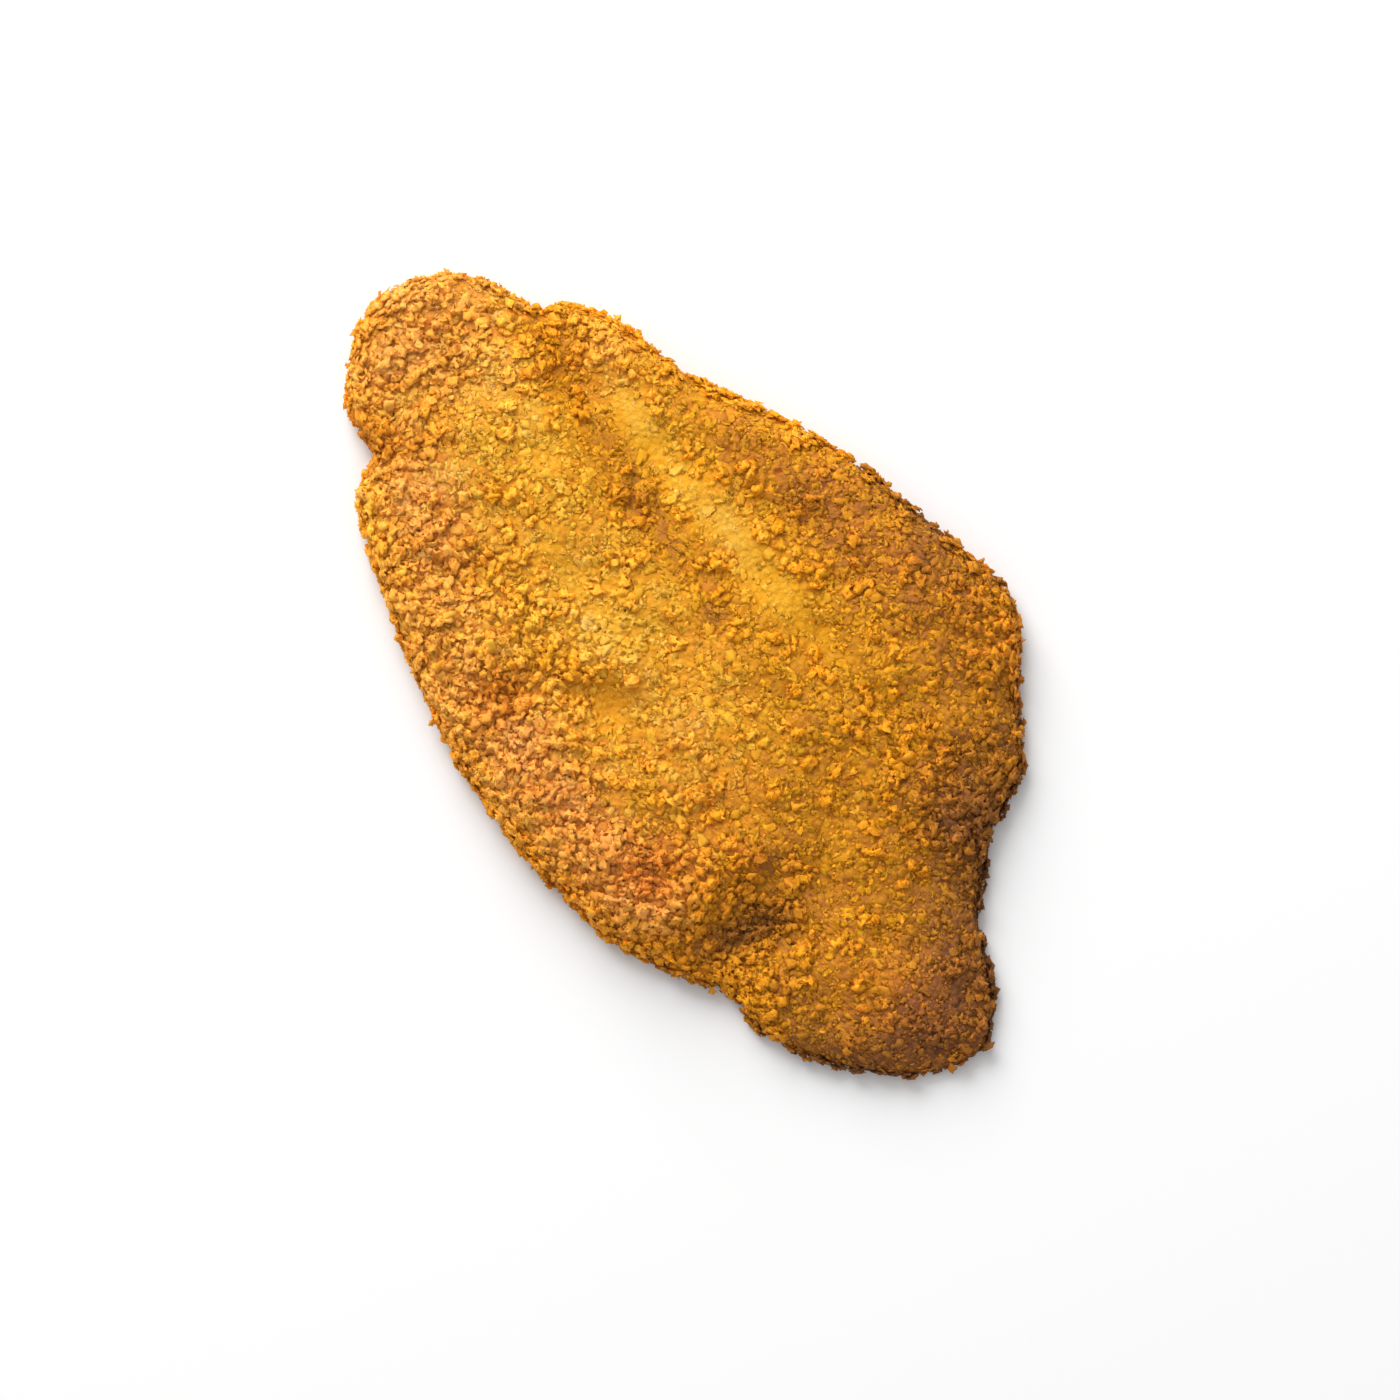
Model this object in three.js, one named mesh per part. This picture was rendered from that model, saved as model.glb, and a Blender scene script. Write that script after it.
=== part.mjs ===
// A breaded, fried cutlet (schnitzel), lying flat with its better side up.
// Units are millimetres and +Z is up. The origin is on the surface that the cutlet rests on,
// under the middle of its box. +X runs along its length, toward the narrow tail.
// One piece of food is one closed solid: it is the envelope of the crumbs.

import * as THREE from 'three';

// driving dimensions
const cutletLength = 200;
const cutletWidth = 113;
const bodyThickness = 14;        // middle of the body, before the mounds and grooves
const endThickness = 11.5;       // blunt end
const tailThickness = 8.5;       // narrow end
const edgeShare = 0.72;          // thickness just inside the edge, as a share of the middle's
const edgeBand = 7;              // width of the rounded edge, seen from above
const undersideBand = 5;         // width of the curl from the flat underside up to the rim
const rimShare = 0.42;           // height of the widest line, as a share of the local thickness
const edgeRoundness = 2.3;       // 2 is a round edge, more is squarer

// how finely the form is divided
const stepsAround = 144;
const stepsOver = 28;            // from the middle of the top to the middle of the underside
const rimStep = 20;              // how many of them lie on the top

// The outline, from the blunt end over the far side to the tail and back along the near side.
const outlineStations = [
  // blunt rounded end
  [-99, -10], [-97, 0], [-90, 9.5],
  // notch, then the long straight far side
  [-78, 15], [-74, 21], [-62, 28], [-48, 32], [-30, 41.5], [-10, 49], [12, 54],
  // shoulder and the slanting flank
  [30, 56.5], [44, 47], [59, 36], [67, 21.5],
  // waist and tail
  [78, 9.5], [90, 3.5], [97, -2], [99.5, -10], [94, -22], [83, -32.5], [70, -39.5],
  // nick, then the full belly
  [58, -40.5], [46, -48], [30, -54], [0, -56.5], [-28, -52.5], [-50, -45.5],
  // notch on the near side of the blunt end
  [-68, -38.5], [-75, -29.5], [-86, -27.5], [-94.5, -19],
];

// Mounds (rise above 0) and grooves (rise below 0) of the top:
// middle, half length along its own direction, half width, direction in degrees, rise.
const mounds = {
  nearSideLobe: { x: 16, y: -41, along: 30, across: 11, turn: 4, rise: 2.6 },
  lobeTip: { x: 35, y: -38, along: 10, across: 13, turn: 0, rise: 1.4 },
  foldByTheTail: { x: 49, y: -32, along: 19, across: 8, turn: 68, rise: -3.8 },
  nearSideRidge: { x: -28, y: -31, along: 22, across: 7, turn: 38, rise: 1.5 },
  recessBehindRidge: { x: -5, y: -23, along: 10, across: 5.5, turn: 20, rise: -1.9 },
  longGroove: { x: -14, y: 17, along: 44, across: 6, turn: 2, rise: -1.7 },
  valleyFromNotch: { x: -52, y: 11, along: 27, across: 6, turn: -16, rise: -1.9 },
  bluntEndSwelling: { x: -62, y: -8, along: 26, across: 16, turn: -6, rise: 1.5 },
  farSideRoll: { x: -42, y: 28, along: 30, across: 7, turn: 24, rise: 0.9 },
  shoulder: { x: 18, y: 40, along: 24, across: 12, turn: -8, rise: 1.3 },
  shoulderHollow: { x: -6, y: 33, along: 9, across: 6, turn: 15, rise: -0.9 },
  flankRoll: { x: 56, y: 22, along: 17, across: 7, turn: -62, rise: 1.5 },
  waistDip: { x: 66, y: 4, along: 15, across: 7, turn: -35, rise: -0.8 },
  tailSwelling: { x: 80, y: -15, along: 16, across: 13, turn: 20, rise: 1.3 },
};

// Gentle swells all over the crust: distance from crest to crest, direction in degrees, height.
const swells = [
  { span: 23, turn: 20, height: 0.3 },
  { span: 17, turn: 103, height: 0.28 },
  { span: 12.5, turn: -38, height: 0.22 },
  { span: 31, turn: 68, height: 0.3 },
];

const outline = new THREE.CatmullRomCurve3(
  outlineStations.map(([x, y]) => new THREE.Vector3(x, y, 0)),
  true,
  'catmullrom',
  0.5,
);

// The rim line, spread evenly along the outline, scaled to the driving dimensions and centred.
function makeRimLine() {
  const points = outline.getSpacedPoints(stepsAround).slice(0, stepsAround);
  const box = new THREE.Box3().setFromPoints(points);
  const size = box.getSize(new THREE.Vector3());
  const middle = box.getCenter(new THREE.Vector3());
  const scale = new THREE.Vector3(cutletLength / size.x, cutletWidth / size.y, 1);
  return points.map((point) => point.sub(middle).multiply(scale));
}

// Height added by one mound at (x, y): a bell shape, stretched along the mound's own direction.
function moundHeight(mound, x, y) {
  const turn = THREE.MathUtils.degToRad(mound.turn);
  const dx = x - mound.x;
  const dy = y - mound.y;
  const u = (dx * Math.cos(turn) + dy * Math.sin(turn)) / mound.along;
  const v = (dy * Math.cos(turn) - dx * Math.sin(turn)) / mound.across;
  return mound.rise * Math.exp(-u * u - v * v);
}

function swellHeight(swell, x, y) {
  const turn = THREE.MathUtils.degToRad(swell.turn);
  const distance = x * Math.cos(turn) + y * Math.sin(turn);
  return swell.height * Math.sin((2 * Math.PI * distance) / swell.span);
}

// Thickness of the meat along the length, without mounds: full in the body, thin at the tail.
function plainThickness(x) {
  const half = cutletLength / 2;
  const towardTail = THREE.MathUtils.smoothstep(x, 0.1 * half, 0.95 * half);
  const towardEnd = THREE.MathUtils.smoothstep(-x, 0.45 * half, 0.95 * half);
  return bodyThickness
    + (tailThickness - bodyThickness) * towardTail
    + (endThickness - bodyThickness) * towardEnd;
}

// Height of the top inside the rounded edge. It falls gently from the middle to the edge.
function topHeight(x, y, share) {
  const crown = 1 - (1 - edgeShare) * share ** 4;
  const relief = Object.values(mounds).reduce((sum, mound) => sum + moundHeight(mound, x, y), 0);
  const unevenness = swells.reduce((sum, swell) => sum + swellHeight(swell, x, y), 0);
  return plainThickness(x) * crown + relief + unevenness;
}

// 1 inside the edge band, falling to 0 on the rim as a quarter of a superellipse.
function edgeFall(distanceToRim, band) {
  const across = THREE.MathUtils.clamp(1 - distanceToRim / band, 0, 1);
  return (1 - across ** edgeRoundness) ** (1 / edgeRoundness);
}

// The point of the crust at one step around and one step over: the share is the way from
// the middle (0) to the rim (1), with the steps a little closer together near the rim.
function crustPoint(rimPoint, stepOver) {
  const onTop = stepOver <= rimStep;
  const t = onTop ? stepOver / rimStep : (stepsOver - stepOver) / (stepsOver - rimStep);
  const share = onTop ? 1 - (1 - t) ** 1.45 : 1 - (1 - t) ** 2.2;
  const x = rimPoint.x * share;
  const y = rimPoint.y * share;
  const distanceToRim = (1 - share) * rimPoint.length();
  const height = topHeight(x, y, share);
  const rimHeight = rimShare * height;
  const z = onTop
    ? rimHeight + (height - rimHeight) * edgeFall(distanceToRim, edgeBand)
    : rimHeight * (1 - edgeFall(distanceToRim, undersideBand));
  return new THREE.Vector3(x, y, z);
}

// A sphere is a closed grid of steps around and steps over. Each of its points is moved to
// the same step of the crust, so the seam and the two poles stay closed.
function makeCutletGeometry() {
  const geometry = new THREE.SphereGeometry(1, stepsAround, stepsOver);
  const rimLine = makeRimLine();
  const positions = geometry.getAttribute('position');
  for (let i = 0; i < positions.count; i += 1) {
    const stepAround = i % (stepsAround + 1);
    const stepOver = Math.floor(i / (stepsAround + 1));
    const rimPoint = rimLine[(stepsAround - stepAround) % stepsAround];
    const point = crustPoint(rimPoint, stepOver);
    positions.setXYZ(i, point.x, point.y, point.z);
  }
  geometry.computeVertexNormals();
  return geometry;
}

const crustMaterial = new THREE.MeshStandardMaterial({
  color: 0xc9862f,
  roughness: 0.75,
  metalness: 0,
});

const schnitzel = new THREE.Mesh(makeCutletGeometry(), crustMaterial);
schnitzel.name = 'schnitzel';

const cutlet = new THREE.Group();
cutlet.add(schnitzel);

export default cutlet;
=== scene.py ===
import math
import bpy
import numpy as np
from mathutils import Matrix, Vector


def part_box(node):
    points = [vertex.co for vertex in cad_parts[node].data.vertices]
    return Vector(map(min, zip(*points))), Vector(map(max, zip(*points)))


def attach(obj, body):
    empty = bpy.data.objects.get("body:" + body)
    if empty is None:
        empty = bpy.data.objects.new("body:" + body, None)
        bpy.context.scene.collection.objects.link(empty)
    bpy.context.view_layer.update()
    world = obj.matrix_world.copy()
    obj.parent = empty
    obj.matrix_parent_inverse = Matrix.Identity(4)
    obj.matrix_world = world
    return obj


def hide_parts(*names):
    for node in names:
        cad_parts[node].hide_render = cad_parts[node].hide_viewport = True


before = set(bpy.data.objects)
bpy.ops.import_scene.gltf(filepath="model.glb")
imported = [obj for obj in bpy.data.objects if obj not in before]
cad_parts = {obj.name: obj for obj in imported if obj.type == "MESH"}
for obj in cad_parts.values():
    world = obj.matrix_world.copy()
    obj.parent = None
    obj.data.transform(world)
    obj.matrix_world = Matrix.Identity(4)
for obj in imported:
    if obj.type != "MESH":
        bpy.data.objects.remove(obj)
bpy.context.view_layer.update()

nodeLow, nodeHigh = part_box("schnitzel")
millimetre = 0.001
coatGap = 0.05     # least height of the coat above the floor, in millimetres
crumbGap = 0.04    # and of the crumbs
topGap = 0.05      # least depth of the crumbs below the solid's top


# the form of the cutlet, in millimetres: the solid's own, with room left for the crumbs
form = {
    "halfLength": 100.0,
    "bodyThickness": 14.0,
    "endThickness": 11.5,
    "tailThickness": 8.5,
    "edgeShare": 0.72,        # thickness just inside the edge, as a share of the middle's
    "edgeBand": 7.0,          # width of the rounded edge, seen from above
    "undersideBand": 5.0,     # width of the curl from the underside up to the rim
    "rimShare": 0.42,         # height of the widest line, as a share of the thickness
    "edgeRoundness": 2.3,
    "crumbRoom": 1.25,        # how far the coat stays inside the solid, for the crumbs
    "undersideRoom": 0.55,
}
outlineStations = [
    (-99, -10), (-97, 0), (-90, 9.5),
    (-78, 15), (-74, 21), (-62, 28), (-48, 32), (-30, 41.5), (-10, 49), (12, 54),
    (30, 56.5), (44, 47), (59, 36), (67, 21.5),
    (78, 9.5), (90, 3.5), (97, -2), (99.5, -10), (94, -22), (83, -32.5), (70, -39.5),
    (58, -40.5), (46, -48), (30, -54), (0, -56.5), (-28, -52.5), (-50, -45.5),
    (-68, -38.5), (-75, -29.5), (-86, -27.5), (-94.5, -19),
]
# mounds and grooves: middle x, y, half length, half width, direction in degrees, rise
mounds = {
    "nearSideLobe": (16, -41, 30, 11, 4, 2.6),
    "lobeTip": (35, -38, 10, 13, 0, 1.4),
    "foldByTheTail": (49, -32, 19, 8, 68, -3.8),
    "nearSideRidge": (-28, -31, 22, 7, 38, 1.5),
    "recessBehindRidge": (-5, -23, 10, 5.5, 20, -1.9),
    "longGroove": (-14, 17, 44, 6, 2, -1.7),
    "valleyFromNotch": (-52, 11, 27, 6, -16, -1.9),
    "bluntEndSwelling": (-62, -8, 26, 16, -6, 1.5),
    "farSideRoll": (-42, 28, 30, 7, 24, 0.9),
    "shoulder": (18, 40, 24, 12, -8, 1.3),
    "shoulderHollow": (-6, 33, 9, 6, 15, -0.9),
    "flankRoll": (56, 22, 17, 7, -62, 1.5),
    "waistDip": (66, 4, 15, 7, -35, -0.8),
    "tailSwelling": (80, -15, 16, 13, 20, 1.3),
}
# creases of the crust, narrower than the grooves
creases = [
    (43, -26, 18, 3.4, 78, -1.2), (-4, -25, 10, 3.2, 14, -0.9), (-22, 8, 24, 3.6, -6, -1.0),
    (-12, 29, 20, 3.8, 16, -0.9), (-62, 13, 18, 3.6, -18, -1.1), (52, 20, 14, 3.6, -65, -1.0),
    (-14, 18, 30, 5, 2, -0.5),
]
# gentle swells: distance from crest to crest, direction in degrees, height
swells = [(23, 20, 0.3), (17, 103, 0.28), (12.5, -38, 0.22), (31, 68, 0.3)]


# a bell stretched along its own direction: exp(-(u/along)^2 - (v/across)^2)
def bell(x, y, middleX, middleY, along, across, turn):
    angle = math.radians(turn)
    dx = x - middleX
    dy = y - middleY
    u = (dx * math.cos(angle) + dy * math.sin(angle)) / along
    v = (dy * math.cos(angle) - dx * math.sin(angle)) / across
    return np.exp(-u * u - v * v)


# 0 below low, 1 above high and 3t^2 - 2t^3 between them
def smoothStep(value, low, high):
    t = np.clip((value - low) / (high - low), 0.0, 1.0)
    return t * t * (3.0 - 2.0 * t)


# closed Catmull-Rom curve through the stations, spread evenly, scaled to the solid's box
def makeRim(stations, steps=48):
    p1 = np.array(stations, float)
    p0 = np.roll(p1, 1, 0)
    p2 = np.roll(p1, -1, 0)
    p3 = np.roll(p1, -2, 0)
    t = (np.arange(steps) / steps)[None, :, None]
    a = p1[:, None]
    b = 0.5 * (p2 - p0)[:, None]
    c = (p0 - 2.5 * p1 + 2.0 * p2 - 0.5 * p3)[:, None]
    d = (1.5 * (p1 - p2) + 0.5 * (p3 - p0))[:, None]
    line = (a + b * t + c * t * t + d * t ** 3).reshape(-1, 2)
    low = line.min(0)
    high = line.max(0)
    size = np.array([nodeHigh[0] - nodeLow[0], nodeHigh[1] - nodeLow[1]]) / millimetre
    line = (line - 0.5 * (low + high)) * size / (high - low)
    turn = np.arctan2(line[:, 1], line[:, 0])
    order = np.argsort(turn)
    return turn[order], np.hypot(line[order, 0], line[order, 1])


rimTurn, rimReach = makeRim(outlineStations)


# distance from the middle to the rim, in a direction given in radians
def reach(direction):
    return np.interp(direction, rimTurn, rimReach, period=2.0 * math.pi)


# thickness of the meat along the length: full in the body, thin at the tail
def plainThickness(x):
    half = form["halfLength"]
    towardTail = smoothStep(x, 0.1 * half, 0.95 * half)
    towardEnd = smoothStep(-x, 0.45 * half, 0.95 * half)
    body = form["bodyThickness"]
    return body + (form["tailThickness"] - body) * towardTail + (form["endThickness"] - body) * towardEnd


# height of the top: the thickness, falling with share^4, plus the mounds, the creases and the swells
def topHeight(x, y, share):
    height = plainThickness(x) * (1.0 - (1.0 - form["edgeShare"]) * share ** 4)
    for middleX, middleY, along, across, turn, rise in mounds.values():
        height = height + rise * bell(x, y, middleX, middleY, along, across, turn)
    for *place, rise in creases:
        height = height + rise * bell(x, y, *place)
    for span, turn, rise in swells:
        angle = math.radians(turn)
        way = x * math.cos(angle) + y * math.sin(angle)
        height = height + rise * np.sin(2.0 * math.pi * way / span)
    return height


# 1 inside the band and 0 on the rim, as a quarter of a superellipse
def edgeFall(distanceToRim, band):
    power = form["edgeRoundness"]
    across = np.clip(1.0 - distanceToRim / band, 0.0, 1.0)
    return (1.0 - across ** power) ** (1.0 / power)


# a square grid laid over a disc: the larger of |a| and |b| is the way out, the other turns
def discGrid(count):
    line = np.linspace(-1.0, 1.0, count)
    a, b = np.meshgrid(line, line)
    wide = np.abs(a) >= np.abs(b)
    out = np.where(wide, a, b)
    safe = np.where(out == 0.0, 1.0, out)
    angle = np.where(wide, 0.25 * math.pi * b / safe, 0.5 * math.pi - 0.25 * math.pi * a / safe)
    return np.abs(out), np.arctan2(out * np.sin(angle), out * np.cos(angle))


# the smooth form: way out and direction give x, y; the height is the top or the underside
def sheet(share, direction, onTop):
    distance = reach(direction) - form["crumbRoom"]
    x = share * distance * np.cos(direction)
    y = share * distance * np.sin(direction)
    toRim = (1.0 - share) * distance
    height = topHeight(x, y, share) - form["crumbRoom"]
    rimHeight = form["rimShare"] * height
    low = form["undersideRoom"]
    if onTop:
        z = rimHeight + (height - rimHeight) * edgeFall(toRim, form["edgeBand"])
    else:
        z = low + (rimHeight - low) * (1.0 - edgeFall(toRim, form["undersideBand"]))
    return np.stack([x, y, z], -1)


# across the sheet: the cross product of its two slopes; on its border: straight out of the outline
def sheetNormals(points, direction, onTop):
    normal = np.cross(np.gradient(points, axis=1), np.gradient(points, axis=0))
    normal = normal if onTop else -normal
    small = 0.001
    slope = (reach(direction + small) - reach(direction - small)) / (2.0 * small)
    distance = reach(direction)
    outward = np.stack([
        distance * np.cos(direction) + slope * np.sin(direction),
        distance * np.sin(direction) - slope * np.cos(direction),
        0.0 * direction,
    ], -1)
    edge = np.zeros(direction.shape, bool)
    edge[[0, -1], :] = True
    edge[:, [0, -1]] = True
    normal[edge] = outward[edge]
    return normal / np.linalg.norm(normal, axis=-1, keepdims=True)


tableSide = 32    # cells of the noise tables before they repeat


# smooth value noise from -1 to 1: random values on a lattice, blended with smooth weights
def softNoise(points, span, seed):
    table = np.random.default_rng(seed).random((tableSide,) * 3) * 2.0 - 1.0
    place = points / span
    corner = np.floor(place).astype(int)
    t = place - corner
    t = t * t * (3.0 - 2.0 * t)
    total = np.zeros(points.shape[:-1])
    for step in np.ndindex(2, 2, 2):
        step = np.array(step)
        weight = np.prod(np.where(step == 1, t, 1.0 - t), axis=-1)
        index = (corner + step) % tableSide
        total += weight * table[index[..., 0], index[..., 1], index[..., 2]]
    return total


# layers of soft noise, each with half the span and half the height of the one before
def roughNoise(points, span, seed, octaves=3):
    layers = [softNoise(points, span / 2 ** i, seed + i) / 2 ** i for i in range(octaves)]
    return sum(layers) / 1.5


# packed flakes: space is shared out among one random point per cell; each share is a flake with its
# own level and its own lean, and the edge is 0 between two flakes and 1 a little inside them
def flakeNoise(points, span, seed):
    source = np.random.default_rng(seed)
    jitter = source.random((tableSide,) * 3 + (3,))
    slope = source.normal(size=(tableSide,) * 3 + (3,))
    value = source.random((tableSide,) * 3)
    bend = np.stack([softNoise(points, 0.9 * span, seed + i) for i in range(3)], -1)
    place = points / span + 0.3 * bend
    corner = np.floor(place).astype(int)
    nearest = np.full(points.shape[:-1], 9.0)
    second = nearest
    level = np.zeros(points.shape[:-1])
    lean = np.zeros(points.shape[:-1])
    for step in np.ndindex(3, 3, 3):
        cell = corner + np.array(step) - 1
        index = cell % tableSide
        pick = (index[..., 0], index[..., 1], index[..., 2])
        away = place - cell - jitter[pick]
        distance = np.linalg.norm(away, axis=-1)
        closer = distance < nearest
        second = np.where(closer, nearest, np.minimum(second, distance))
        nearest = np.where(closer, distance, nearest)
        level = np.where(closer, value[pick], level)
        lean = np.where(closer, np.sum(away * slope[pick], -1), lean)
    return level, lean, smoothStep(second - nearest, 0.0, 0.32)


# where the crust is craggy, smooth, dark or warm: x, y, half length, half width, turn, amount
craggyPatches = [
    (-62, -34, 22, 7, -28, 0.9), (-30, -36, 20, 12, 20, 0.9), (0, -48, 40, 9, -4, 1.0),
    (34, -42, 14, 11, 20, 0.9), (54, -36, 12, 12, 60, 0.8), (60, 24, 12, 14, -60, 1.0),
    (-66, 20, 12, 6, 30, 0.6), (-90, -14, 10, 18, 0, 0.5), (34, 50, 10, 8, 0, 0.5),
]
smoothPatches = [
    (-6, 18, 26, 5.5, 2, 1.25), (-50, 17, 14, 6, -6, 1.1), (-4, -24, 9, 5, 20, 1.0),
    (-58, 2, 16, 6, -20, 0.6), (-20, -12, 24, 7, 8, 0.6), (20, -6, 30, 12, 0, 0.25),
]
# the dark patches are partly browner crust and partly painted shade: they darken the side toward the tail,
# which faces away from the light, the far side, the fold, and the creases and valleys
brownAndShadePatches = [
    (70, 20, 30, 16, -55, 0.32), (92, -10, 14, 26, 0, 0.34), (49, -31, 16, 5.5, 75, 0.4),
    (70, -31, 14, 9, 0, 0.22), (30, 40, 40, 18, 0, 0.18), (-6, 33, 10, 7, 15, 0.12),
    (-20, 36, 34, 8, 22, 0.16), (40, 0, 60, 44, 0, 0.18), (-70, 14, 12, 6, -10, 0.2),
    (-42, 9, 20, 5, -10, 0.2), (-18, -38, 6, 5, 30, 0.2), (28, -37, 5, 5, 0, 0.26),
    (-6, 5, 3, 2.5, 0, 0.3), (-76, -28, 8, 5, 10, 0.2), (8, 50, 16, 6, 0, 0.18),
    (56, 20, 8, 12, -60, 0.2), (86, -28, 14, 8, 40, 0.14),
    (-8, 18, 26, 5, 2, -0.16), (-50, 18, 14, 5, -6, -0.1), (-22, 8, 20, 4, -4, 0.12),
    (-60, -6, 20, 12, 0, -0.04), (-8, -16, 26, 7, 5, -0.14), (10, -2, 18, 8, 0, -0.12),
    (-5, -32, 28, 8, 0, -0.08), (38, -40, 6, 6, 0, -0.08), (41, -18, 5, 9, 0, 0.14),
]
warmPatches = [
    (-88, -6, 16, 24, 0, 0.6), (-58, -28, 26, 12, -18, 0.6), (-12, -44, 34, 11, 6, 0.6),
    (26, -42, 20, 12, 0, 0.5), (60, 26, 14, 16, -60, 0.25), (84, -12, 16, 18, 0, 0.45),
    (-60, 22, 10, 6, 20, 0.3), (-16, -38, 8, 6, 0, 0.2), (28, -37, 7, 6, 0, 0.3),
    (10, 42, 44, 9, 14, 0.38), (30, -14, 30, 20, 0, 0.1),
]
crustTone = {
    "browning": 0.275,
    "warmth": 0.06,
    "sideBrown": 0.08,        # how much browner the side is
    "tailBrownAndShade": 0.2,         # and how much more toward the tail, partly browner crust and partly painted shade on the side that faces away from the light
    "underBrown": 0.52,       # browning of the underside
    "unevenBrown": 0.08,
    "unevenWarm": 0.2,
    "sideCraggy": 0.5,
}


# the patches' bells, each times its amount, added up
def patchSum(x, y, patches):
    return sum(amount * bell(x, y, *place) for *place, amount in patches)


# the crust at any point: browning with painted shade, warmth, how craggy and how smooth it is, all about 0
# to 1
def crustState(points, normals):
    x = points[..., 0]
    y = points[..., 1]
    side = 1.0 - smoothStep(np.abs(normals[..., 2]), 0.1, 0.75)
    under = smoothStep(-normals[..., 2], 0.2, 0.9)
    towardTail = smoothStep(x, -80.0, 90.0)
    uneven = roughNoise(points, 14.0, 5) + roughNoise(points, 5.0, 6)
    # browning, plus painted shade from the dark patches
    browning = crustTone["browning"] + patchSum(x, y, brownAndShadePatches) + crustTone["unevenBrown"] * uneven
    # the side is browner, and toward the tail darker still with painted shade
    browning = browning + side * (crustTone["sideBrown"] + crustTone["tailBrownAndShade"] * towardTail)
    below = crustTone["underBrown"] + 0.12 * roughNoise(points, 18.0, 8)
    warmth = crustTone["warmth"] + patchSum(x, y, warmPatches)
    warmth = warmth + crustTone["unevenWarm"] * roughNoise(points, 16.0, 7)
    craggy = patchSum(x, y, craggyPatches) + crustTone["sideCraggy"] * side
    return {
        "points": points,
        "normals": normals,
        "browning": browning * (1.0 - under) + below * under,
        "warmth": np.clip(warmth, 0.0, 1.0),
        "craggy": np.clip(craggy, 0.0, 1.0) * (1.0 - under),
        "plain": np.clip(patchSum(x, y, smoothPatches), 0.0, 1.0) * (1.0 - under),
    }


lumpSizes = {
    "plain": 0.3,             # height of the lumps, in millimetres
    "craggy": 0.8,            # how much higher they are where the crust is craggy
    "smoothed": 0.7,          # the share that smooth places lose
    "fineSpan": 6.0,
    "coarseSpan": 11.0,
}


# lumps under the crumbs: the points move along their normals by two noises, but not on the underside
def raiseLumps(points, normals):
    part = crustState(points, normals)
    fine = roughNoise(points, lumpSizes["fineSpan"], 11)
    coarse = roughNoise(points, lumpSizes["coarseSpan"], 12)
    height = lumpSizes["plain"] + lumpSizes["craggy"] * part["craggy"]
    height = height * (1.0 - lumpSizes["smoothed"] * part["plain"]) * (0.6 * fine + 0.4 * coarse)
    height = height * (1.0 - smoothStep(-normals[..., 2], 0.2, 0.9))
    part["points"] = points + normals * height[..., None]
    return part


coat = {
    "gridCount": 297,
    "ringsUnder": 8,          # rings of the underside between the rim and its middle
    "crowding": 1.12,         # above 1, the grid is finer toward the rim
    "flakeSpan": 1.9,         # distance between the flakes of the relief
    "level": 0.24,            # how far one flake lies above another
    "lean": 0.28,             # how far a flake rises toward its edge
    "edge": 0.16,             # depth of the gap between two flakes
    "small": 0.3,             # relief of the small flakes, as a share of the large ones
    "plain": 0.12,            # relief that is left in smooth places
    "gapShade": 0.07,         # painted shade: how much browner the crust is drawn in the gaps
    "gapGlow": 0.4,           # painted glow of light scattered in the crust: how much warmer the gaps are drawn
    "levelBrown": 0.1,        # how much the large flakes differ in browning
    "smallBrown": 0.06,
    "levelWarm": 0.25,
}


# one sheet of the cutlet on the coat's grid, with its lumps; the crumbs are placed on the two sheets
def lumpySheet(onTop):
    out, direction = discGrid(coat["gridCount"])
    points = sheet(1.0 - (1.0 - out) ** coat["crowding"], direction, onTop)
    return raiseLumps(points, sheetNormals(points, direction, onTop))


topSheet = lumpySheet(True)
underSheet = lumpySheet(False)
print("form ready", topSheet["points"].shape)


# an object from arrays of points, in millimetres, and faces with the same number of corners each
# smooth is one value for all faces or one for each; an edge between smooth and flat faces stays crisp
def meshObject(name, points, faces, smooth):
    mesh = bpy.data.meshes.new(name)
    points = np.asarray(points, np.float64) * millimetre
    faces = np.asarray(faces, np.int32)
    corners = faces.shape[1]
    mesh.vertices.add(len(points))
    mesh.vertices.foreach_set("co", points.astype(np.float32).ravel())
    mesh.loops.add(faces.size)
    mesh.loops.foreach_set("vertex_index", faces.ravel())
    mesh.polygons.add(len(faces))
    mesh.polygons.foreach_set("loop_start", np.arange(0, faces.size, corners, dtype=np.int32))
    mesh.polygons.foreach_set("use_smooth", np.ascontiguousarray(np.broadcast_to(smooth, len(faces))))
    mesh.update(calc_edges=True)
    piece = bpy.data.objects.new(name, mesh)
    bpy.context.scene.collection.objects.link(piece)
    return piece


# one number for each vertex
def addFloats(piece, name, values):
    attribute = piece.data.attributes.new(name, "FLOAT", "POINT")
    attribute.data.foreach_set("value", np.asarray(values, np.float32))


# one place on the map for each corner of each face
def addMap(piece, loopPlaces):
    layer = piece.data.uv_layers.new(name="OFBake")
    layer.data.foreach_set("uv", np.asarray(loopPlaces, np.float32).ravel())


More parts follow.
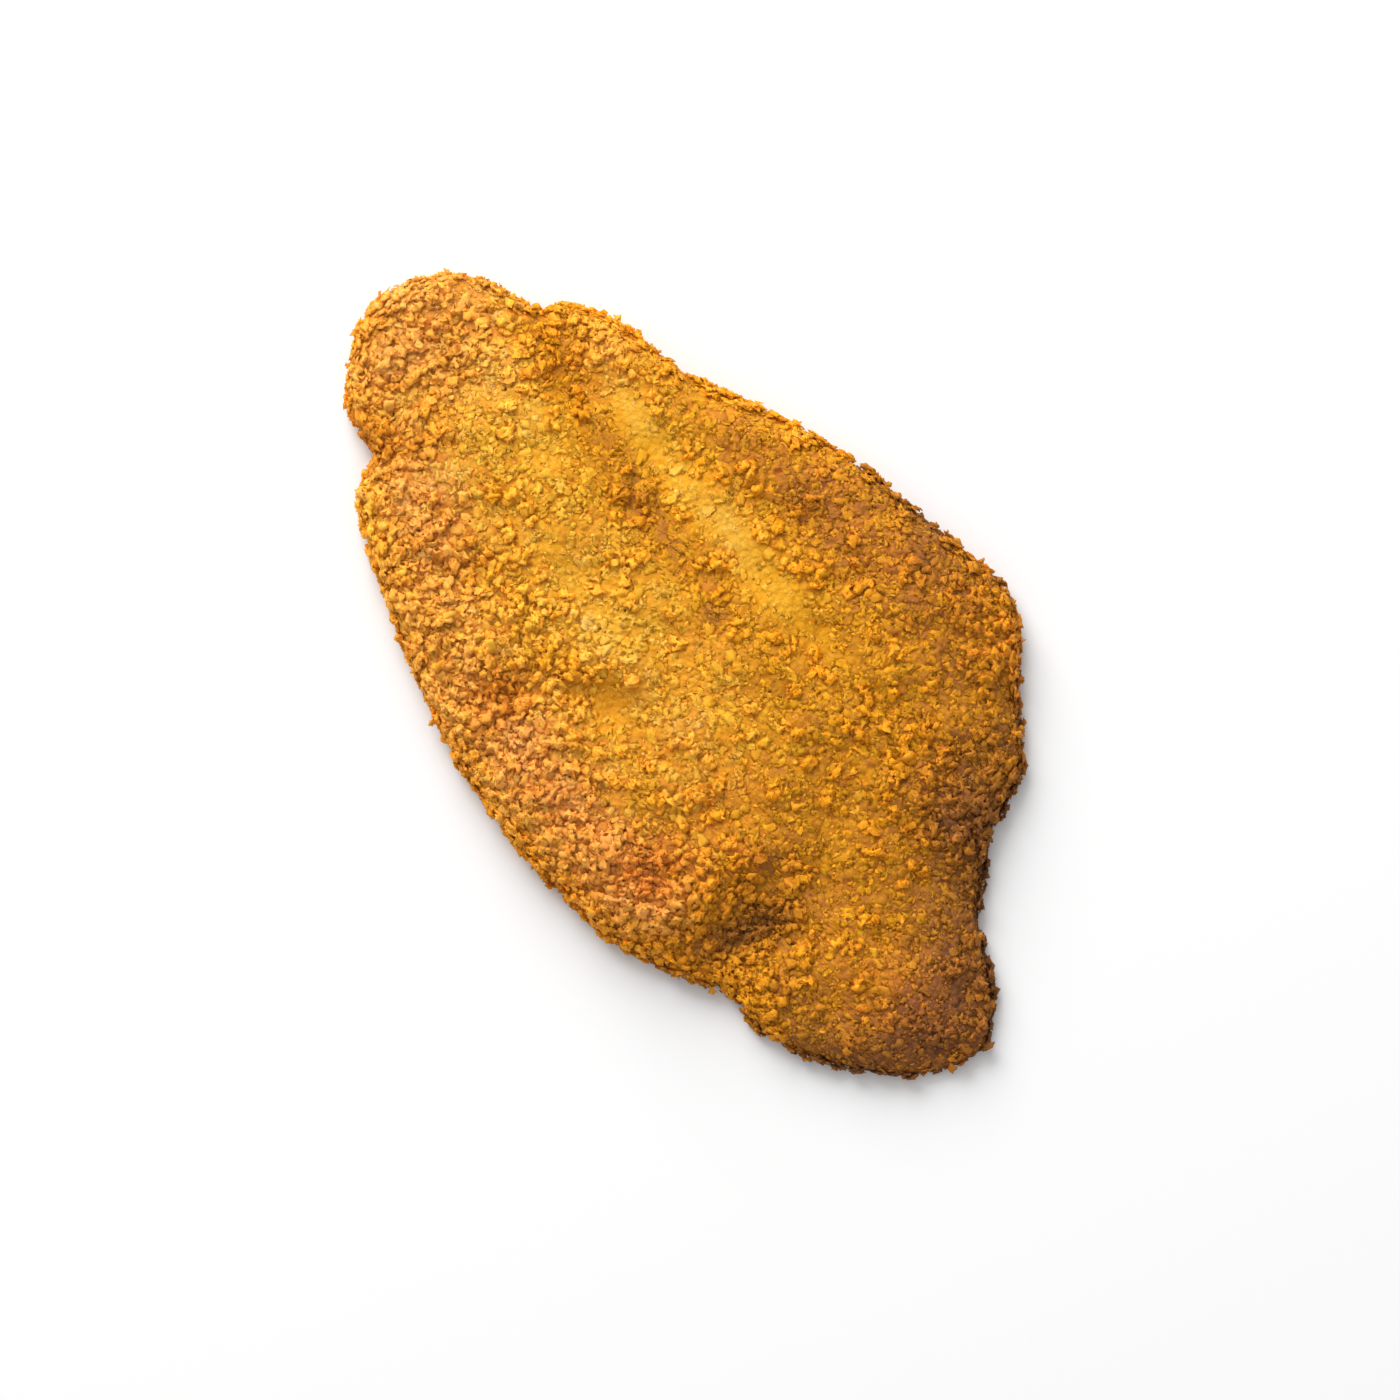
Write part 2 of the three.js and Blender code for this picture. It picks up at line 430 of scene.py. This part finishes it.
# packed flakes as relief along the normals, with painted shade and glow: browner and warmer in the gaps
# between them
def addFlakes(part):
    level, lean, edge = flakeNoise(part["points"], coat["flakeSpan"], 21)
    small, smallLean, smallEdge = flakeNoise(part["points"], 0.5 * coat["flakeSpan"], 22)
    bare = 1.0 - part["plain"]
    height = coat["level"] * (level - 0.5) + coat["lean"] * lean + coat["edge"] * (edge - 0.8)
    height = height + coat["small"] * (coat["lean"] * smallLean + coat["edge"] * smallEdge)
    height = height * (coat["plain"] + (1.0 - coat["plain"]) * bare)
    points = part["points"] + part["normals"] * height[..., None]
    points[..., 2] = np.maximum(points[..., 2], coatGap)
    # painted shade and glow: the gaps between the flakes are drawn browner and warmer
    shadedGap = 1.0 - 0.7 * edge - 0.3 * smallEdge
    uneven = coat["levelBrown"] * (level - 0.5) + coat["smallBrown"] * (small - 0.5)
    browning = part["browning"] + bare * (uneven + coat["gapShade"] * shadedGap)
    warmth = part["warmth"] + bare * (coat["levelWarm"] * (level - 0.5) + coat["gapGlow"] * (1.0 - edge))
    return points, browning, warmth


# two triangles for each cell of a grid of vertex numbers
def triangles(index):
    a, b, c, d = index[:-1, :-1], index[:-1, 1:], index[1:, 1:], index[1:, :-1]
    return np.stack([np.stack([a, b, c], -1), np.stack([a, c, d], -1)]).reshape(-1, 3)


# the border of a square grid, once round
def around(grid):
    return np.concatenate([grid[0, :-1], grid[:-1, -1], grid[-1, :0:-1], grid[:0:-1, 0]])


# places of a grid of vertices on the map: even steps across it and along it
def mapGrid(rows, columns, first, last):
    across, along = np.meshgrid(np.linspace(0.005, 0.995, columns), np.linspace(first, last, rows))
    return np.stack([across, along], -1).reshape(-1, 2)


# the coat: the top sheet is a square grid; the underside is rings that begin on its border and end in
# a fan round the middle
def makeCoat():
    count = coat["gridCount"]
    rings = coat["ringsUnder"]
    top = np.arange(count * count).reshape(count, count)
    border = around(top)
    out, direction = discGrid(count)
    share = 1.0 - (np.arange(1, rings) / rings) ** 2.0
    sheets = [topSheet]
    ringGrid = np.meshgrid(share, around(direction), indexing="ij")
    middleGrid = np.zeros((2, 1, 1))
    for ringShare, ringTurn in (ringGrid, middleGrid):
        points = sheet(ringShare, ringTurn, False)
        sheets.append(raiseLumps(points, np.broadcast_to((0.0, 0.0, -1.0), points.shape)))
    parts = [[values.reshape(part["browning"].size, -1) for values in addFlakes(part)] for part in sheets]
    points, browning, warmth = (np.concatenate(values) for values in zip(*parts))
    under = len(border) * np.arange(rings - 1)[:, None] + np.arange(len(border)) + count * count
    under = np.concatenate([border[None], under])
    under = np.concatenate([under, under[:, :1]], 1)
    middle = np.full(len(border), len(points) - 1)
    fan = np.stack([under[-1, 1:], under[-1, :-1], middle], -1)
    faces = np.concatenate([triangles(top), triangles(under[:, ::-1]), fan])
    topMap = mapGrid(count, count, 0.25, 0.995)
    ringMap = mapGrid(rings + 1, len(border) + 1, 0.24, 0.005)
    ringIndex = np.arange(len(ringMap)).reshape(rings + 1, -1)
    fanIndex = np.stack([ringIndex[-2, 1:], ringIndex[-2, :-1], ringIndex[-1, :-1]], -1)
    places = [topMap[triangles(top)], ringMap[triangles(ringIndex[:-1, ::-1])], ringMap[fanIndex]]
    piece = meshObject("coat", points, faces, True)
    addFloats(piece, "browning", browning.ravel())
    addFloats(piece, "warmth", warmth.ravel())
    addMap(piece, np.concatenate(places))
    print("coat", len(faces), "triangles")
    return piece


# single crumbs about 1 across: points, triangles and which triangles are smooth
# a flake: a square grid domed as 0.5 - 1.3 r^2 and closed from its border to one point below
def flakeShape(side):
    line = np.linspace(-0.5, 0.5, side)
    x, y = np.meshgrid(line, line)
    pull = 1.0 - 0.5 * (x * x + y * y)
    z = 0.5 - 1.3 * (x * x + y * y)
    points = np.concatenate([np.stack([x * pull, y * pull, z], -1).reshape(-1, 3), [(0.0, 0.0, -0.6)]])
    index = np.arange(side * side).reshape(side, side)
    upper = triangles(index)
    loop = around(index)
    below = np.stack([np.roll(loop, -1), loop, np.full(len(loop), side * side)], -1)
    faces = np.concatenate([upper, below])
    return points, faces, np.arange(len(faces)) < len(upper)


# a chip: a box of twelve triangles
def chipShape():
    points = np.array(list(np.ndindex(2, 2, 2)), float) - 0.5
    sides = [(0, 1, 3, 2), (4, 6, 7, 5), (0, 4, 5, 1), (2, 3, 7, 6), (0, 2, 6, 4), (1, 5, 7, 3)]
    faces = [trio for a, b, c, d in sides for trio in ((a, b, c), (a, c, d))]
    return points, np.array(faces), np.zeros(len(faces), bool)


crumbFinish = {
    "press": 0.25,            # how much of its height a crumb keeps when pressed into the coat
    "craggyPress": 0.17,      # how much more it keeps where the crust is craggy
    "rimPress": 0.4,          # how much more it keeps round the rim
    "tipLightLowShade": 0.14,          # painted light and shade: how much paler the raised side of a crumb is drawn, and how much browner its low side
    "lowSideGlow": 0.4,           # painted glow of light scattered below the crumbs: how much warmer their low side is drawn
    "warmSpread": 0.3,        # how much crumbs differ in warmth
    "longest": 0.4,           # how much longer than wide a crumb can be
    "bend": 0.35,             # how far crumbs bend up or down toward their ends
    "roughness": 0.5,
    "specular": 0.15,
    "grain": 1800.0,
    "grainBump": 0.25,
    "grainBrown": 0.1,
    "grainRoughness": 0.25,   # grains glint
    "grainSpecular": 0.5,
}
# most: how many at most; cell: two places drawn for a kind never share a cell this wide, in millimetres
# size: smallest and largest, in millimetres; thick: thickness as a share of the size; tilt: how far they
# lean; raise: how far they stand out, as a share of the size; crumple: how far the corners wander
# pale: how much paler than the coat they are; spread: how much they differ in browning
# craggy, plain, tail and under: how much a kind likes craggy, smooth, tail and underside places
crumbKinds = {
    "broadFlakes": {"shape": "broad", "most": 3700, "cell": 1.9, "size": (1.8, 3.6), "thick": (0.2, 0.34),
                    "tilt": 0.228, "raise": 0.0, "pale": 0.05, "spread": 0.12, "crumple": (0.08, 0.08, 0.1),
                    "craggy": 0.6, "plain": 0.08, "tail": 0.4, "under": 0.4, "seed": 31},
    "curledFlakes": {"shape": "broad", "most": 3900, "cell": 1.6, "size": (1.5, 2.9), "thick": (0.24, 0.42),
                     "tilt": 0.33, "raise": 0.01, "pale": 0.04, "spread": 0.12, "crumple": (0.1, 0.1, 0.14),
                     "craggy": 1.3, "plain": 0.06, "tail": 0.6, "under": 0.3, "seed": 37},
    "foldedChips": {"shape": "plate", "most": 6400, "cell": 1.2, "size": (1.0, 2.1), "thick": (0.26, 0.44),
                    "tilt": 0.36, "raise": 0.01, "pale": 0.05, "spread": 0.12, "crumple": (0.12, 0.12, 0.15),
                    "craggy": 1.0, "plain": 0.12, "tail": 0.9, "under": 0.5, "seed": 41},
    "clumps": {"shape": "plate", "most": 6400, "cell": 3.0, "size": (1.3, 2.7), "thick": (0.32, 0.54),
               "tilt": 0.54, "raise": 0.08, "pale": 0.04, "spread": 0.12, "crumple": (0.13, 0.13, 0.16),
               "craggy": 3.0, "plain": 0.05, "tail": 0.7, "under": 0.0, "seed": 51},
    "nuggets": {"shape": "small", "most": 6000, "cell": 0.9, "size": (0.6, 1.4), "thick": (0.34, 0.6),
                "tilt": 0.6, "raise": 0.03, "pale": 0.05, "spread": 0.14, "crumple": (0.16, 0.16, 0.16),
                "craggy": 0.4, "plain": 0.3, "tail": 1.6, "under": 0.5, "seed": 61},
    "grains": {"shape": "chip", "most": 3400, "cell": 0.9, "size": (0.25, 0.55), "thick": (0.4, 0.9),
               "tilt": 0.72, "raise": 0.1, "pale": 0.08, "spread": 0.12, "crumple": (0.2, 0.2, 0.2),
               "craggy": 0.8, "plain": 0.6, "tail": 3.0, "under": 0.3, "seed": 71},
}
# a clump: how many crumbs, how far apart, and its heap, heap * exp(-r^2 / heapWidth), in millimetres
clumpForm = {"together": 6, "apart": 0.95, "heap": 0.9, "heapWidth": 1.6}
crumbShapes = {"broad": flakeShape(5), "plate": flakeShape(4), "small": flakeShape(3), "chip": chipShape()}


# random places on the coat: quads drawn by area and liking, one place kept in each small cell
def scatter(kind, source, wanted):
    areas = []
    for part in (topSheet, underSheet):
        p = part["points"]
        area = np.linalg.norm(np.cross(p[:-1, 1:] - p[:-1, :-1], p[1:, :-1] - p[:-1, :-1]), axis=-1)
        craggy = part["craggy"][:-1, :-1]
        plain = part["plain"][:-1, :-1]
        tail = smoothStep(p[:-1, :-1, 0], 0.0, 70.0)
        under = smoothStep(-part["normals"][:-1, :-1, 2], 0.3, 0.9)
        if kind["craggy"] > 1.0:
            liking = 0.1 + kind["craggy"] * craggy
        else:
            liking = 1.0 + (kind["craggy"] - 1.0) * craggy
        liking = liking * (1.0 + (kind["plain"] - 1.0) * plain) * (1.0 + (kind["tail"] - 1.0) * tail)
        liking = liking * (1.0 + (kind["under"] - 1.0) * under)
        gathered = roughNoise(p[:-1, :-1], 7.0, kind["seed"])
        liking = liking * (0.6 + smoothStep(gathered, -0.35, 0.35))
        areas.append((area * np.clip(liking, 0.0, None)).ravel())
    chances = np.concatenate(areas)
    chosen = source.choice(len(chances), wanted * 4, p=chances / chances.sum())
    s = source.random((len(chosen), 1))
    t = source.random((len(chosen), 1))
    half = len(areas[0])
    onTop = chosen < half
    row, column = np.divmod(np.where(onTop, chosen, chosen - half), coat["gridCount"] - 1)

    def blend(name):
        result = 0.0
        for part, mask in ((topSheet, onTop), (underSheet, ~onTop)):
            grid = part[name] if part[name].ndim == 3 else part[name][..., None]
            value = ((1 - s) * (1 - t) * grid[row, column] + s * (1 - t) * grid[row, column + 1]
                     + (1 - s) * t * grid[row + 1, column] + s * t * grid[row + 1, column + 1])
            result = result + value * mask[:, None]
        return result

    picks = {name: blend(name) for name in ("points", "normals", "browning", "warmth", "craggy")}
    picks["normals"] /= np.linalg.norm(picks["normals"], axis=1, keepdims=True)
    cell = np.floor(picks["points"] / kind["cell"] + source.random(3)).astype(int) + 500
    key = cell[:, 0] + cell[:, 1] * 1000 + cell[:, 2] * 1000000
    first = np.sort(np.unique(key, return_index=True)[1])[:wanted]
    return {name: values[first] for name, values in picks.items()}


# three axes for each crumb: up is the coat's normal plus a random lean, and the others stand across it
def crumbAxes(normals, tilt, source):
    lean = source.normal(size=normals.shape) * tilt
    up = normals + lean
    up = up / np.linalg.norm(up, axis=1, keepdims=True)
    side = np.cross(up, source.normal(size=normals.shape))
    side = side / np.linalg.norm(side, axis=1, keepdims=True)
    return side, np.cross(up, side), up


# joined copies of one shape: each copy is stretched, its corners wander, it is bent by x^2, turned and
# pressed along the coat's normal, then kept above the floor and below the solid's top
def makeCrumbs(name):
    kind = crumbKinds[name]
    source = np.random.default_rng(kind["seed"])
    shapePoints, shapeFaces, smooth = crumbShapes[kind["shape"]]
    perClump = clumpForm["together"] if name == "clumps" else 1
    spots = scatter(kind, source, kind["most"] // perClump)
    spots = {key: np.repeat(values, perClump, axis=0) for key, values in spots.items()}
    count = len(spots["points"])
    smallest, largest = kind["size"]
    size = smallest + (largest - smallest) * source.random(count) ** 1.8
    side, front, up = crumbAxes(spots["normals"], kind["tilt"], source)
    place = spots["points"] + spots["normals"] * (size * kind["raise"])[:, None]
    if perClump > 1:
        away = source.normal(size=(count, 3)) * clumpForm["apart"]
        away = away - spots["normals"] * np.sum(away * spots["normals"], 1, keepdims=True)
        rise = clumpForm["heap"] * np.exp(-np.sum(away ** 2, 1) / clumpForm["heapWidth"])
        place = place + away + spots["normals"] * rise[:, None]
    thin, thick = kind["thick"]
    long = 1.0 + crumbFinish["longest"] * source.random(count)
    stretch = np.stack([long, 1.0 / long, thin + (thick - thin) * source.random(count)], -1)
    wander = source.normal(size=(count, len(shapePoints), 3)) * kind["crumple"]
    own = shapePoints * stretch[:, None] + wander
    bend = source.normal(size=(count, 1)) * crumbFinish["bend"]
    own[..., 2] += bend * own[..., 0] ** 2
    axes = np.stack([side, front, up], 1)
    offset = (own * size[:, None, None]) @ axes
    high = np.sum(offset * spots["normals"][:, None], -1, keepdims=True)
    rim = (1.0 - np.abs(spots["normals"][:, 2:, None])) ** 2
    kept = crumbFinish["press"] + crumbFinish["craggyPress"] * spots["craggy"][:, :, None]
    kept = kept + crumbFinish["rimPress"] * rim
    offset = offset - (1.0 - kept) * high * spots["normals"][:, None]
    points = place[:, None] + offset
    lift = np.clip(crumbGap - points[..., 2].min(1), 0.0, None)
    drop = np.clip(points[..., 2].max(1) + lift - (nodeHigh[2] / millimetre - topGap), 0.0, None)
    points[..., 2] += (lift - drop)[:, None]
    browning = spots["browning"][:, 0] - kind["pale"] + kind["spread"] * (source.random(count) - 0.45)
    warmth = spots["warmth"][:, 0] + crumbFinish["warmSpread"] * (source.random(count) - 0.5)
    # painted light and shade: each crumb's raised side is drawn paler and its low side browner and warmer
    rise = high[..., 0] / size[:, None]
    u = np.clip(browning, 0.04, 0.94)[:, None] - crumbFinish["tipLightLowShade"] * rise
    v = np.clip(warmth, 0.06, 0.94)[:, None] - crumbFinish["lowSideGlow"] * rise + 0.03 * shapePoints[:, 0]
    faces = shapeFaces[None] + (np.arange(count) * len(shapePoints))[:, None, None]
    faces = faces.reshape(-1, 3)
    piece = meshObject(name, points.reshape(-1, 3), faces, np.tile(smooth, count))
    places = np.clip(np.stack([u, v], -1), 0.01, 0.99).reshape(-1, 2)
    addMap(piece, places[faces.ravel()])
    print(name, count, "crumbs", len(faces), "triangles")
    return piece


# one socket of a shader tree: arithmetic on it adds Math nodes
class Wire:
    def __init__(self, tree, socket=None):
        self.tree = tree
        self.socket = socket

    def add(self, kind, settings=None, values=None, output=0):
        node = self.tree.nodes.new(kind)
        for key, value in (settings or {}).items():
            if key == "stops":
                setStops(node.color_ramp, value)
            else:
                setattr(node, key, value)
        for key, value in (values or {}).items():
            if isinstance(value, Wire):
                self.tree.links.new(value.socket, node.inputs[key])
            else:
                node.inputs[key].default_value = value
        return Wire(self.tree, node.outputs[output]) if len(node.outputs) else None

    def math(self, operation, first, second):
        return self.add("ShaderNodeMath", {"operation": operation}, {0: first, 1: second})

    def __add__(self, other):
        return self.math("ADD", self, other)

    def __radd__(self, other):
        return self.math("ADD", other, self)

    def __sub__(self, other):
        return self.math("SUBTRACT", self, other)

    def __rsub__(self, other):
        return self.math("SUBTRACT", other, self)

    def __mul__(self, other):
        return self.math("MULTIPLY", self, other)

    def __rmul__(self, other):
        return self.math("MULTIPLY", other, self)


# a screen colour, 0 to 255, as linear light
def linear(red, green, blue):
    def one(value):
        value = value / 255.0
        return value / 12.92 if value <= 0.04045 else ((value + 0.055) / 1.055) ** 2.4
    return (one(red), one(green), one(blue), 1.0)


def setStops(ramp, stops):
    while len(ramp.elements) < len(stops):
        ramp.elements.new(0.5)
    for element, (place, colour) in zip(ramp.elements, stops):
        element.position = place
        element.color = colour


# the crust's colours from pale to dark brown: one row where it is yellow, one where it is warm
yellowStops = [
    (0.0, linear(247, 194, 94)), (0.18, linear(246, 184, 52)), (0.36, linear(233, 159, 20)),
    (0.54, linear(203, 133, 26)), (0.76, linear(154, 97, 34)), (1.0, linear(80, 50, 28)),
]
warmStops = [
    (0.0, linear(241, 180, 114)), (0.18, linear(234, 158, 84)), (0.36, linear(221, 132, 48)),
    (0.54, linear(193, 107, 42)), (0.76, linear(144, 84, 48)), (1.0, linear(76, 46, 32)),
]


# both rows of colours at this browning and painted shade, mixed by the warmth
def crustColour(start, browning, warmth):
    yellow = start.add("ShaderNodeValToRGB", {"stops": yellowStops}, {"Fac": browning})
    warm = start.add("ShaderNodeValToRGB", {"stops": warmStops}, {"Fac": browning})
    return start.add("ShaderNodeMix", {"data_type": "RGBA"}, {0: warmth, 6: yellow, 7: warm}, 2)


def newMaterial(name):
    material = bpy.data.materials.new(name)
    material.use_nodes = True
    tree = material.node_tree
    tree.nodes.clear()
    return material, Wire(tree)


def finishMaterial(start, values):
    shader = start.add("ShaderNodeBsdfPrincipled", {"subsurface_method": "BURLEY"}, values)
    start.add("ShaderNodeOutputMaterial", {}, {"Surface": shader})


# fried crumbs let a little light through
glow = {
    "Subsurface Weight": 0.8,
    "Subsurface Radius": (1.0, 0.95, 0.9),
    "Subsurface Scale": 0.0007,
}


# noise from 0 to 1, with so many speckles to a metre
def speckle(start, place, scale, detail, output=0):
    return start.add("ShaderNodeTexNoise", {}, {"Vector": place, "Scale": scale, "Detail": detail}, output)


# crumbs take browning with painted shade, and warmth with painted glow, from the map, and a fine grain
# varies browning and relief
def crumbMaterial(name, roughness, specular):
    material, start = newMaterial(name)
    place = start.add("ShaderNodeUVMap", {"uv_map": "OFBake"})
    browning = start.add("ShaderNodeSeparateXYZ", {}, {0: place}, 0)
    warmth = start.add("ShaderNodeSeparateXYZ", {}, {0: place}, 1)
    spot = start.add("ShaderNodeTexCoord", {}, {}, "Object")
    grain = speckle(start, spot, crumbFinish["grain"], 2.0)
    browning = browning + crumbFinish["grainBrown"] * (grain - 0.5)
    bump = start.add("ShaderNodeBump", {},
                     {"Strength": crumbFinish["grainBump"], "Distance": 0.0003, "Height": grain})
    finishMaterial(start, {
        "Base Color": crustColour(start, browning, warmth),
        "Roughness": roughness + 0.2 * browning,
        "Specular IOR Level": specular,
        "Normal": bump,
        **glow,
    })
    return material


coatFinish = {
    "crumb": 700.0,           # crumbs to a metre in the fine relief
    "grain": 1500.0,
    "fineGrain": 3600.0,
    "bend": 0.0016,           # how far noise bends the edges of the crumbs, in metres
    "reliefShade": 0.2,            # painted shade: how much browner the hollows of the fine relief are drawn, and how much paler its tops
    "bump": 0.7,
    "roughness": 0.45,
    "unevenRoughness": 0.3,
    "specular": 0.15,
}


# fine relief with painted shade: two grains, less the distance from the middle of each fine crumb; its
# hollows are drawn browner and its tops paler
def coatMaterial():
    material, start = newMaterial("friedCoat")
    place = start.add("ShaderNodeTexCoord", {}, {}, "Object")
    bend = speckle(start, place, coatFinish["crumb"], 2.0, "Color")
    bent = start.add("ShaderNodeVectorMath", {"operation": "MULTIPLY_ADD"},
                     {0: bend, 1: (coatFinish["bend"],) * 3, 2: place})
    crumb = start.add("ShaderNodeTexVoronoi", {"feature": "F1"},
                      {"Vector": bent, "Scale": coatFinish["crumb"]}, "Distance")
    grain = speckle(start, place, coatFinish["grain"], 3.0)
    fine = speckle(start, place, coatFinish["fineGrain"], 2.0)
    browning = start.add("ShaderNodeAttribute", {"attribute_name": "browning"}, {}, "Fac")
    warmth = start.add("ShaderNodeAttribute", {"attribute_name": "warmth"}, {}, "Fac")
    height = 0.6 * grain + 0.3 * fine - 0.9 * crumb
    # painted shade: the hollows of the fine relief are drawn browner, its tops paler
    browning = browning + 0.02 - coatFinish["reliefShade"] * height
    bump = start.add("ShaderNodeBump", {},
                     {"Strength": coatFinish["bump"], "Distance": 0.0006, "Height": height})
    finishMaterial(start, {
        "Base Color": crustColour(start, browning, warmth),
        "Roughness": coatFinish["roughness"] + coatFinish["unevenRoughness"] * grain,
        "Specular IOR Level": coatFinish["specular"],
        "Normal": bump,
        **glow,
    })
    return material


# a finished piece gets its material and stands for the cutlet
def setDown(piece, material):
    piece.data.materials.append(material)
    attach(piece, "root")
    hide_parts("schnitzel")


setDown(makeCoat(), coatMaterial())
crumbLook = crumbMaterial("friedCrumbs", crumbFinish["roughness"], crumbFinish["specular"])
grainLook = crumbMaterial("friedGrains", crumbFinish["grainRoughness"], crumbFinish["grainSpecular"])
for kindName in crumbKinds:
    setDown(makeCrumbs(kindName), grainLook if kindName == "grains" else crumbLook)
print("crumbs ready")


# floor, light and camera
stageSetup = {
    "floorSize": 6.0,
    "lookAt": (6.4, -7.7, 7.0),      # millimetres
    "frameWidth": 286.4,             # millimetres seen across the picture at that height
    "lens": 90.0,
    "roll": -52.0,                   # degrees: +X points this far from the picture's right
    "keyPower": 51.0,
    "keySize": 1.7,
    "keyFrom": (-1.8, 0.48, 1.17),
    "fillPower": 4.5,
    "fillFrom": (-0.8, 0.2, 1.6),
    "fillSize": 1.1,
    "worldLight": 0.46,
}


def plainMaterial(name, colour, roughness):
    material, start = newMaterial(name)
    finishMaterial(start, {"Base Color": colour, "Roughness": roughness, "Specular IOR Level": 0.2})
    return material


def makeFloor():
    half = 500.0 * stageSetup["floorSize"]
    corners = [(-half, -half, 0.0), (half, -half, 0.0), (half, half, 0.0), (-half, half, 0.0)]
    floor = meshObject("floor", corners, [(0, 1, 2, 3)], False)
    floor.data.materials.append(plainMaterial("paleFloor", linear(253, 253, 253), 0.8))


# turned so that its -Z points from its place to the target
def aimed(piece, place, target):
    piece.location = place
    direction = np.array(target) - np.array(place)
    away = math.hypot(direction[0], direction[1])
    piece.rotation_euler = (math.atan2(away, -direction[2]), 0.0, math.atan2(-direction[0], direction[1]))
    return piece


def addLight(name, place, power, size):
    light = bpy.data.lights.new(name, "AREA")
    light.energy = power
    light.shape = "DISK"
    light.size = size
    lamp = bpy.data.objects.new(name, light)
    bpy.context.scene.collection.objects.link(lamp)
    return aimed(lamp, place, (0.0, 0.0, 0.0))


def makeLights():
    addLight("key", stageSetup["keyFrom"], stageSetup["keyPower"], stageSetup["keySize"])
    addLight("fill", stageSetup["fillFrom"], stageSetup["fillPower"], stageSetup["fillSize"])
    world = bpy.data.worlds.new("studio")
    world.use_nodes = True
    world.node_tree.nodes["Background"].inputs[0].default_value = (1.0, 1.0, 1.0, 1.0)
    world.node_tree.nodes["Background"].inputs[1].default_value = stageSetup["worldLight"]
    bpy.context.scene.world = world


def makeCamera():
    camera = bpy.data.cameras.new("camera")
    camera.lens = stageSetup["lens"]
    camera.sensor_width = 36.0
    camera.clip_start = 0.01
    camera.clip_end = 50.0
    holder = bpy.data.objects.new("camera", camera)
    bpy.context.scene.collection.objects.link(holder)
    x, y, z = (value * millimetre for value in stageSetup["lookAt"])
    distance = stageSetup["frameWidth"] * millimetre * stageSetup["lens"] / camera.sensor_width
    holder.location = (x, y, z + distance)
    holder.rotation_euler = (0.0, 0.0, math.radians(-stageSetup["roll"]))
    bpy.context.scene.camera = holder


makeFloor()
makeLights()
makeCamera()
bpy.context.scene.view_settings.view_transform = "Standard"
print("stage ready")

bpy.context.view_layer.update()
